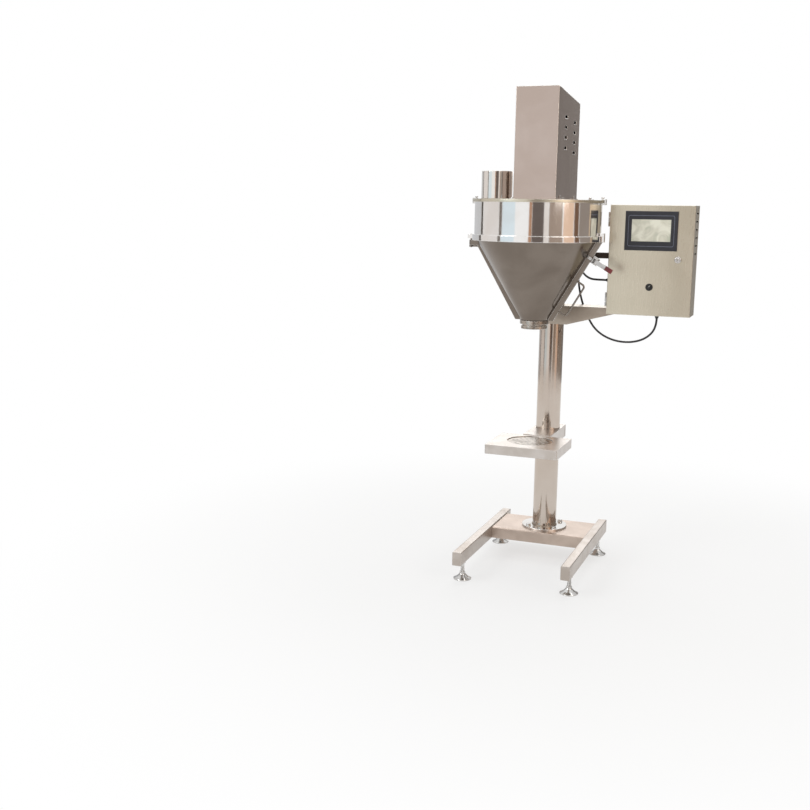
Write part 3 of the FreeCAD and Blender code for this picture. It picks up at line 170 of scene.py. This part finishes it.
def steel(name, light, dark, rough, spread, grain, grain_depth, cloud, edge=0.35):
    """Stainless steel: grain is the mm between scratches along x, y and z, cloud the size of its soft
    patches in m. Light and dark are the patches' colours, rough and spread its roughness and how much
    the scratches vary it; edge is how far a painted highlight lightens the base colour at corners."""
    made = new_material(name)
    place = add(made, "TexCoord").outputs["Object"]
    per_metre = [1000.0 / mm for mm in grain]
    stretched = add(made, "Mapping", {"Scale": per_metre}, {"Vector": place})
    scratches = add(made, "TexNoise", {"Scale": 1.0, "Detail": 5.0, "Roughness": 0.65},
                    {"Vector": stretched.outputs["Vector"]})
    patches = add(made, "TexNoise", {"Scale": 1.0 / cloud, "Detail": 3.0, "Roughness": 0.5, "Distortion": 0.4},
                  {"Vector": place})
    soft = add(made, "MapRange", {"From Min": 0.34, "From Max": 0.66}, {"Value": patches.outputs["Fac"]},
               interpolation_type="SMOOTHSTEP")
    tone = add(made, "Mix", {"A": colour(light), "B": colour(dark)}, {"Factor": soft.outputs["Result"]},
               data_type="RGBA")
    # Painted highlight: the base colour is lightened at folded and cut edges, where the rounded normal turns away
    # from the flat one.
    rounded = add(made, "Bevel", {"Radius": 0.0032}, samples=4)
    flat = add(made, "NewGeometry").outputs["Normal"]
    turn = add(made, "VectorMath", links={0: rounded.outputs["Normal"], 1: flat}, operation="DOT_PRODUCT")
    painted_edge_highlight = add(made, "MapRange", {"From Min": 0.995, "From Max": 0.80, "To Max": edge},
               {"Value": turn.outputs["Value"]})
    tone_with_painted_edge_highlight = add(made, "Mix", {"B": colour("#f3f0ec")},
                 {"Factor": painted_edge_highlight.outputs["Result"], "A": tone.outputs["Result"]}, data_type="RGBA")
    gloss = add(made, "MapRange", {"From Min": 0.3, "From Max": 0.7, "To Min": rough - spread,
                                   "To Max": rough + spread}, {"Value": scratches.outputs["Fac"]})
    relief = add(made, "Bump", {"Strength": grain_depth, "Distance": 0.0002},
                 {"Height": scratches.outputs["Fac"], "Normal": rounded.outputs["Normal"]})
    shader = add(made, "BsdfPrincipled", {"Metallic": 1.0},
                 {"Base Color": tone_with_painted_edge_highlight.outputs["Result"], "Roughness": gloss.outputs["Result"],
                  "Normal": relief.outputs["Normal"]})
    return finish_with(made, shader)


def coating(name, light, dark, rough, ior, mottle, relief_mm, relief_depth, coat=0.0):
    """Plastic, rubber or paint: mottle is the size of its soft patches in m, relief_mm the mm between
    the bumps of its moulded or sprayed skin."""
    made = new_material(name)
    place = add(made, "TexCoord").outputs["Object"]
    patches = add(made, "TexNoise", {"Scale": 1.0 / mottle, "Detail": 3.0}, {"Vector": place})
    soft = add(made, "MapRange", {"From Min": 0.35, "From Max": 0.65}, {"Value": patches.outputs["Fac"]})
    tone = add(made, "Mix", {"A": colour(light), "B": colour(dark)}, {"Factor": soft.outputs["Result"]},
               data_type="RGBA")
    skin = add(made, "TexNoise", {"Scale": 1000.0 / relief_mm, "Detail": 2.0}, {"Vector": place})
    gloss = add(made, "MapRange", {"From Min": 0.3, "From Max": 0.7, "To Min": rough - 0.06,
                                   "To Max": rough + 0.06}, {"Value": skin.outputs["Fac"]})
    relief = add(made, "Bump", {"Strength": relief_depth, "Distance": 0.0002},
                 {"Height": skin.outputs["Fac"]})
    shader = add(made, "BsdfPrincipled", {"IOR": ior, "Coat Weight": coat},
                 {"Base Color": tone.outputs["Result"], "Roughness": gloss.outputs["Result"],
                  "Normal": relief.outputs["Normal"]})
    return finish_with(made, shader)


# Real polishing scratches are under 0.05 mm apart; grain is drawn ten to thirty times coarser to show.
# Bright rolled sheet, bent to a cylinder: nearly a mirror, drawn out a little along its height.
mirror_shell = steel("bright_rolled_stainless", "#eceae8", "#e6e2de", 0.085, 0.025, (5, 5, 60), 0.10, 0.16)
# Folded sheet polished before folding: a warm soft mirror, its corners lightened by the strongest painted edge
# highlight.
housing_sheet = steel("polished_folded_stainless", "#bfb0a7", "#b8a89e", 0.12, 0.03, (3, 3, 40), 0.10, 0.22,
                      edge=1.0)
# Rolled cone: duller than the straight wall and grained along its slope; its darker base colour is painted shade
# for the shadow and dark reflections it shows.
spun_cone = steel("rolled_cone_stainless_painted_shade", "#857b72", "#776d64", 0.19, 0.05, (4, 4, 70), 0.14, 0.20, edge=0.7)
# Drawn tube, buffed: a long bright streak and warm sides.
drawn_tube = steel("drawn_stainless_tube", "#c9beb4", "#bfb2a6", 0.10, 0.03, (3, 3, 50), 0.08, 0.25)
# Inlet tube, buffed brighter than the column.
inlet_steel = steel("buffed_stainless_tube", "#e8e3dd", "#e0d8d0", 0.10, 0.03, (3, 3, 40), 0.08, 0.20)
# Satin ground door and box: fine upright lines that spread the light evenly.
ground_sheet = steel("satin_ground_stainless", "#d3ccba", "#c8c1af", 0.30, 0.05, (1.1, 1.1, 45), 0.14, 0.30,
                     edge=0.5)
# Square tube of the floor frame, ground along its length.
ground_tube = steel("ground_square_tube", "#c3bbb4", "#b5aba2", 0.34, 0.07, (1.3, 40, 1.3), 0.18, 0.10, edge=0.5)
cross_sheet = steel("ground_folded_plate", "#c2b2a6", "#b5a599", 0.36, 0.07, (40, 1.3, 1.3), 0.18, 0.10, edge=0.5)
tray_sheet = steel("ground_tray_sheet", "#ccc5bf", "#c0b8b0", 0.33, 0.07, (40, 1.2, 1.2), 0.16, 0.08, edge=0.8)
# Folded arm and square bar in the machine's shade, with a duller mill finish.
mill_sheet = steel("mill_finish_stainless", "#b5aa9d", "#a89c8f", 0.36, 0.07, (30, 1.4, 1.4), 0.18, 0.10, edge=0.4)
dark_bar = steel("blackened_square_bar", "#5b514b", "#433b37", 0.45, 0.08, (35, 1.5, 1.5), 0.22, 0.08, edge=0.5)
# Turned parts carry fine rings from the lathe.
turned_steel = steel("turned_stainless", "#b9b0a6", "#958b80", 0.24, 0.07, (25, 25, 0.9), 0.16, 0.06, edge=0.8)
# Bolts, feet and clamps are plated: smooth, cool and bright.
chrome = steel("bright_chrome_plate", "#d7d6d4", "#b4b2b0", 0.12, 0.03, (6, 6, 6), 0.06, 0.05, edge=0.9)
cast_alloy = steel("cast_aluminium", "#a9a9a8", "#8f8f8e", 0.52, 0.08, (1.6, 1.6, 1.6), 0.35, 0.05, edge=0.4)
zinc_plate = steel("spangled_zinc_plate", "#b9bdbf", "#989da0", 0.42, 0.10, (14, 14, 14), 0.10, 0.012, edge=0.3)
# Weld beads stay rough and a little brown beside the ground sheet.
weld_metal = steel("weld_bead", "#b3a698", "#7d7064", 0.38, 0.12, (2.5, 2.5, 2.5), 0.60, 0.012, edge=0.2)
# Soft PVC sheath and rubber: nearly black, with a dull sheen.
pvc_sheath = coating("black_pvc_sheath", "#1d1c1e", "#262427", 0.46, 1.53, 0.05, 1.2, 0.15)
rubber = coating("black_rubber", "#1b1b1b", "#262525", 0.72, 1.52, 0.03, 0.8, 0.35)
# Dipped vinyl grip: dark red, glossy and slightly uneven.
vinyl_grip = coating("dipped_red_vinyl", "#7c1417", "#5d0e12", 0.30, 1.52, 0.02, 2.0, 0.20, coat=0.3)
# Moulded bezel: blue-black with a fine spark-eroded texture.
bezel_plastic = coating("moulded_abs_bezel", "#25262f", "#1d1e26", 0.42, 1.54, 0.06, 0.7, 0.25)
switch_plastic = coating("moulded_black_polyamide", "#151515", "#202020", 0.34, 1.53, 0.02, 0.7, 0.18)
line_paint = coating("printed_line_ink", "#8d93a5", "#7c8294", 0.45, 1.5, 0.02, 0.8, 0.05)
white_ink = coating("white_filled_mark", "#e6e6e2", "#d8d8d4", 0.50, 1.5, 0.02, 0.8, 0.05)
grey_plastic = coating("grey_polycarbonate", "#9aa0a2", "#888e90", 0.40, 1.585, 0.03, 0.8, 0.15)
belt_rubber = coating("woven_belt_rubber", "#2a2725", "#1f1d1c", 0.66, 1.52, 0.02, 1.2, 0.50)


def display_with_painted_reflection():
    """Display glass under a loose clear film: its pale, faintly green base colour with soft cloudy patches is a
    painted reflection; the film's folds are a bump that catches the light.
    """
    made = new_material("display_glass_painted_reflection")
    place = add(made, "TexCoord").outputs["Object"]
    fold_relief_and_reflection_noise = add(made, "TexNoise", {"Scale": 17.0, "Detail": 2.0, "Distortion": 1.6}, {"Vector": place})
    # Painted reflection: pale lighter and darker tones that follow the fold noise.
    painted_reflection_tones = add(made, "ValToRGB", links={"Fac": fold_relief_and_reflection_noise.outputs["Fac"]})
    ramp = painted_reflection_tones.color_ramp.elements
    ramp[0].position, ramp[0].color = 0.33, colour("#c9cbb9")
    ramp[1].position, ramp[1].color = 0.66, colour("#f0efdf")
    middle = ramp.new(0.50)
    middle.color = colour("#dedccb")
    relief = add(made, "Bump", {"Strength": 0.5, "Distance": 0.002}, {"Height": fold_relief_and_reflection_noise.outputs["Fac"]})
    shader = add(made, "BsdfPrincipled", {"IOR": 1.49, "Roughness": 0.16},
                 {"Base Color": painted_reflection_tones.outputs["Color"], "Normal": relief.outputs["Normal"]})
    return finish_with(made, shader)


display = display_with_painted_reflection()

FINISH = {
    mirror_shell: ["hopper_body", "base_flange"],
    housing_sheet: ["drive_housing"],
    spun_cone: ["front_cone", "rear_cone"],
    drawn_tube: ["column"],
    inlet_steel: ["inlet_tube"],
    ground_sheet: ["box_body", "box_door", "hopper_lid"],
    ground_tube: ["left_leg", "right_leg"],
    cross_sheet: ["cross_member"],
    tray_sheet: ["tray_pan", "tray_bracket", "hopper_brace", "box_plate"],
    mill_sheet: ["box_arm"],
    dark_bar: ["box_bar"],
    turned_steel: ["powder_outlet", "tray_grid", "tray_clamp_collar", "auger_screw", "agitator",
                   "cone_hinge_pin", "shaft_coupling", "agitator_bearings"],
    chrome: ["foot_front_left", "foot_front_right", "foot_rear_left", "foot_rear_right", "frame_fasteners",
             "tray_bolts", "tray_lock_lever", "lid_clamps", "toggle_base", "toggle_handle", "toggle_arm",
             "lock_body", "lock_barrel", "box_hinges", "door_knuckles", "housing_feet"],
    cast_alloy: ["bearing_housing", "agitator_pulley", "stirrer_pulley", "motor_stands", "servo_motor",
                 "stirrer_motor"],
    zinc_plate: ["mounting_plate"],
    vinyl_grip: ["toggle_grip"],
    bezel_plastic: ["panel_case"],
    display: ["panel_screen"],
    switch_plastic: ["selector_body", "selector_knob", "cable_glands"],
    grey_plastic: ["box_electrics"],
    belt_rubber: ["agitator_belt"],
}


def dress(piece, material):
    piece.data.materials.clear()
    piece.data.materials.append(material)


for material, names in FINISH.items():
    for name in names:
        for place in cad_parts[name].material_slots:
            place.material = material
for lead in (stirrer_lead, servo_lead):
    dress(lead, pvc_sheath)


# ---------------------------------------------------------------- welds
def weld(name, points, body, size=0.0022, closed=False):
    dress(line_piece(name, points, size, body, closed=closed), weld_metal)


flange_low, flange_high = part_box("base_flange")
column_low, column_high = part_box("column")
column_radius = (column_high.x - column_low.x) / 2 if hasattr(column_high, "x") else (column_high[0] - column_low[0]) / 2
weld("column_foot_weld", circle(COLUMN + Vector((0, 0, flange_high[2] + 0.001)), column_radius + 0.0008),
     "frame", 0.0030, closed=True)
cross_low, cross_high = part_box("cross_member")
for side, x in (("left", cross_low[0]), ("right", cross_high[0])):
    weld(f"cross_{side}_weld", [Vector((x, cross_low[1] + 0.004, cross_high[2])),
                                Vector((x, cross_high[1] - 0.004, cross_high[2]))], "frame", 0.0020)
lid_low, lid_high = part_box("hopper_lid")
inlet_low, inlet_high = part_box("inlet_tube")
inlet_axis = Vector(((inlet_low[0] + inlet_high[0]) / 2, (inlet_low[1] + inlet_high[1]) / 2, lid_high[2]))
weld("inlet_weld", circle(inlet_axis + Vector((0, 0, 0.001)), (inlet_high[0] - inlet_low[0]) / 2 + 0.0006),
     "frame", 0.0022, closed=True)


# ---------------------------------------------------------------- foot threads
THREAD_PITCH = 0.002


def foot_thread(name, node, body):
    """Thread on the stud between the nut under the leg and the foot's neck."""
    low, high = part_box(node)
    centre = Vector(((low[0] + high[0]) / 2, (low[1] + high[1]) / 2, 0))
    start, end = 0.034, 0.060
    turns = int((end - start) / THREAD_PITCH)
    points = []
    for i in range(turns * 16 + 1):
        angle = 2 * math.pi * i / 16
        points.append(centre + Vector((0.008 * math.cos(angle), 0.008 * math.sin(angle),
                                       start + THREAD_PITCH * i / 16)))
    dress(line_piece(name, points, 0.0005, body), chrome)


for place in ("front_left", "front_right", "rear_left", "rear_right"):
    foot_thread(f"stud_thread_{place}", f"foot_{place}", f"{place}_foot")


# ---------------------------------------------------------------- operator panel and selector
def rounded_frame(centre, width, height, corner, y):
    """Corner points of a rounded rectangle that faces the front."""
    points = []
    for turn, (sx, sz) in enumerate(((1, 1), (-1, 1), (-1, -1), (1, -1))):
        for step in range(7):
            angle = math.radians(90 * turn + 15 * step)
            points.append(Vector((centre[0] + sx * (width / 2 - corner) + corner * math.cos(angle), y,
                                  centre[1] + sz * (height / 2 - corner) + corner * math.sin(angle))))
    return points


panel_low, panel_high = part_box("panel_case")
screen_low, screen_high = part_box("panel_screen")
panel_middle = ((panel_low[0] + panel_high[0]) / 2, (panel_low[2] + panel_high[2]) / 2)
line = line_piece("panel_printed_line", rounded_frame(panel_middle, 0.187, 0.125, 0.007, panel_low[1]),
                  0.0007, "control_door", closed=True)
dress(line, line_paint)

knob_low, knob_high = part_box("selector_knob")
knob_middle = Vector(((knob_low[0] + knob_high[0]) / 2, knob_low[1], (knob_low[2] + knob_high[2]) / 2))
lean = math.radians(35)
upward = Vector((math.sin(lean), 0, math.cos(lean)))
mark = line_piece("selector_mark", [knob_middle + upward * 0.002, knob_middle + upward * 0.0105], 0.0007,
                  "selector")
dress(mark, white_ink)


# ---------------------------------------------------------------- inside the control box
door_low, door_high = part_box("box_door")
body_low, body_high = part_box("box_body")
seal = line_piece("door_seal", [Vector((door_low[0] + 0.010, door_high[1] - 0.006, door_low[2] + 0.010)),
                                Vector((door_high[0] - 0.010, door_high[1] - 0.006, door_low[2] + 0.010)),
                                Vector((door_high[0] - 0.010, door_high[1] - 0.006, door_high[2] - 0.010)),
                                Vector((door_low[0] + 0.010, door_high[1] - 0.006, door_high[2] - 0.010))],
                  0.0045, "control_door", closed=True)
dress(seal, rubber)

plate_low, plate_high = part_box("mounting_plate")
for number, (x, top, bend) in enumerate(((0.036, 0.236, 0.010), (0.052, 0.236, -0.008), (0.120, 0.258, 0.012),
                                         (0.150, 0.258, -0.010), (0.180, 0.258, 0.008))):
    foot = Vector((body_low[0] + 0.064 + x, plate_low[1] - 0.030, body_low[2] + 0.106))
    rise = top - 0.106
    wire = line_piece(f"wire_{number + 1}", [
        foot, foot + Vector((0, -0.012, 0.020)), foot + Vector((bend, -0.014, rise * 0.5)),
        foot + Vector((bend, -0.006, rise * 0.8)), foot + Vector((0, 0.006, rise))], 0.0014, "frame", smooth=True)
    dress(wire, pvc_sheath)


# ---------------------------------------------------------------- floor, lamps and surroundings
def floor_material():
    """Matt white floor that fades into the backdrop away from the machine and keeps its shadow."""
    made = new_material("matt_white_floor")
    place = add(made, "TexCoord").outputs["Object"]
    away = add(made, "VectorMath", links={0: place}, operation="LENGTH")
    fade = add(made, "MapRange", {"From Min": 0.9, "From Max": 2.6, "To Min": 0.62, "To Max": 1.0},
               {"Value": away.outputs["Value"]}, interpolation_type="SMOOTHSTEP")
    matt = add(made, "BsdfDiffuse", {"Color": colour("#f2f2f1")})
    plain = add(made, "Emission", {"Color": (1, 1, 1, 1), "Strength": 1.0})
    both = add(made, "MixShader")
    paths = add(made, "LightPath")
    seen = add(made, "Math", links={0: paths.outputs["Is Camera Ray"], 1: paths.outputs["Is Glossy Ray"]},
               operation="MAXIMUM")
    seen = add(made, "Math", links={0: seen.outputs[0], 1: paths.outputs["Is Transmission Ray"]},
               operation="MAXIMUM")
    share = add(made, "Math", links={0: seen.outputs[0], 1: fade.outputs["Result"]}, operation="MULTIPLY")
    tree = made.node_tree
    tree.links.new(share.outputs[0], both.inputs[0])
    tree.links.new(matt.outputs[0], both.inputs[1])
    tree.links.new(plain.outputs[0], both.inputs[2])
    add(made, "OutputMaterial", links={"Surface": both.outputs[0]})
    return made


form = bmesh.new()
bmesh.ops.create_circle(form, cap_ends=True, segments=96, radius=30.0)
floor_mesh = bpy.data.meshes.new("floor")
form.to_mesh(floor_mesh)
form.free()
floor = bpy.data.objects.new("floor", floor_mesh)
scene.collection.objects.link(floor)
floor_mesh.materials.append(floor_material())

world = bpy.data.worlds.new("studio")
scene.world = world
world.use_nodes = True
world.node_tree.nodes.clear()
paths = add(world, "LightPath")
seen = add(world, "Math", links={0: paths.outputs["Is Camera Ray"], 1: paths.outputs["Is Glossy Ray"]},
           operation="MAXIMUM")
seen = add(world, "Math", links={0: seen.outputs[0], 1: paths.outputs["Is Transmission Ray"]},
           operation="MAXIMUM")
level = add(world, "MapRange", {"To Min": 0.55, "To Max": 1.0}, {"Value": seen.outputs[0]})
sky = add(world, "Background", {"Color": (1, 1, 1, 1)}, {"Strength": level.outputs["Result"]})
add(world, "OutputWorld", links={"Surface": sky.outputs[0]})


def screen(name, bearing, spread, tone, low=-0.02, high=3.3, away=5.6):
    """A tall studio screen that only shows in polished metal. Bearings run from the front to the right."""
    form = bmesh.new()
    steps = 8
    rows = []
    for height in (low, high):
        row = []
        for i in range(steps + 1):
            angle = math.radians(bearing + spread * (i / steps - 0.5))
            row.append(form.verts.new((HOPPER.x + away * math.sin(angle), HOPPER.y - away * math.cos(angle),
                                       height)))
        rows.append(row)
    for i in range(steps):
        form.faces.new((rows[0][i], rows[0][i + 1], rows[1][i + 1], rows[1][i]))
    mesh = bpy.data.meshes.new(name)
    form.to_mesh(mesh)
    form.free()
    card = bpy.data.objects.new(name, mesh)
    scene.collection.objects.link(card)
    card.visible_camera = False
    card.visible_diffuse = False
    card.visible_shadow = False
    card.visible_transmission = False
    paint = new_material(name + "_cloth")
    glow = add(paint, "Emission", {"Color": colour(tone), "Strength": 1.0})
    add(paint, "OutputMaterial", links={"Surface": glow.outputs[0]})
    mesh.materials.append(paint)


screen("screen_rear_left", -129, 44, "#cfd0d2")
screen("screen_left_post", -103, 7, "#5d5651")
screen("screen_left", -78, 40, "#ece8e6")
screen("screen_left_strip", -54, 6, "#7d746d")
screen("screen_front_left", -38, 25, "#e6f4fc")
screen("screen_front_post", 2, 5, "#b98f72")
screen("screen_middle", 15, 20, "#6f6560")
screen("screen_middle_strip", 29, 8, "#efe9e4")
screen("screen_front_right", 46, 24, "#a8978a")
screen("screen_right", 70, 20, "#f0d0b8")
screen("screen_right_post", 86, 10, "#7a5f4e")
screen("screen_far_right", 111, 38, "#9a9088")
screen("screen_rear_right", 150, 38, "#8f8b88")
screen("screen_rear", 176, 12, "#b9b6b3")


def lamp(name, place, size, power, tone="#ffffff"):
    data = bpy.data.lights.new(name, "AREA")
    data.shape = "RECTANGLE"
    data.size, data.size_y = size
    data.energy = power
    data.color = colour(tone)[:3]
    made = bpy.data.objects.new(name, data)
    made.location = place
    made.rotation_euler = (Vector((0, -0.1, 1.1)) - Vector(place)).to_track_quat("-Z", "Y").to_euler()
    scene.collection.objects.link(made)


lamp("key_softbox", (-2.9, -3.4, 3.3), (2.2, 2.2), 62.0)
lamp("fill_softbox", (3.2, -2.4, 2.6), (2.0, 2.0), 26.0, "#fff4ea")
lamp("top_softbox", (0.2, 0.6, 4.6), (2.6, 2.6), 48.0)
lamp("rear_softbox", (-1.0, 4.0, 2.8), (2.4, 2.0), 24.0)
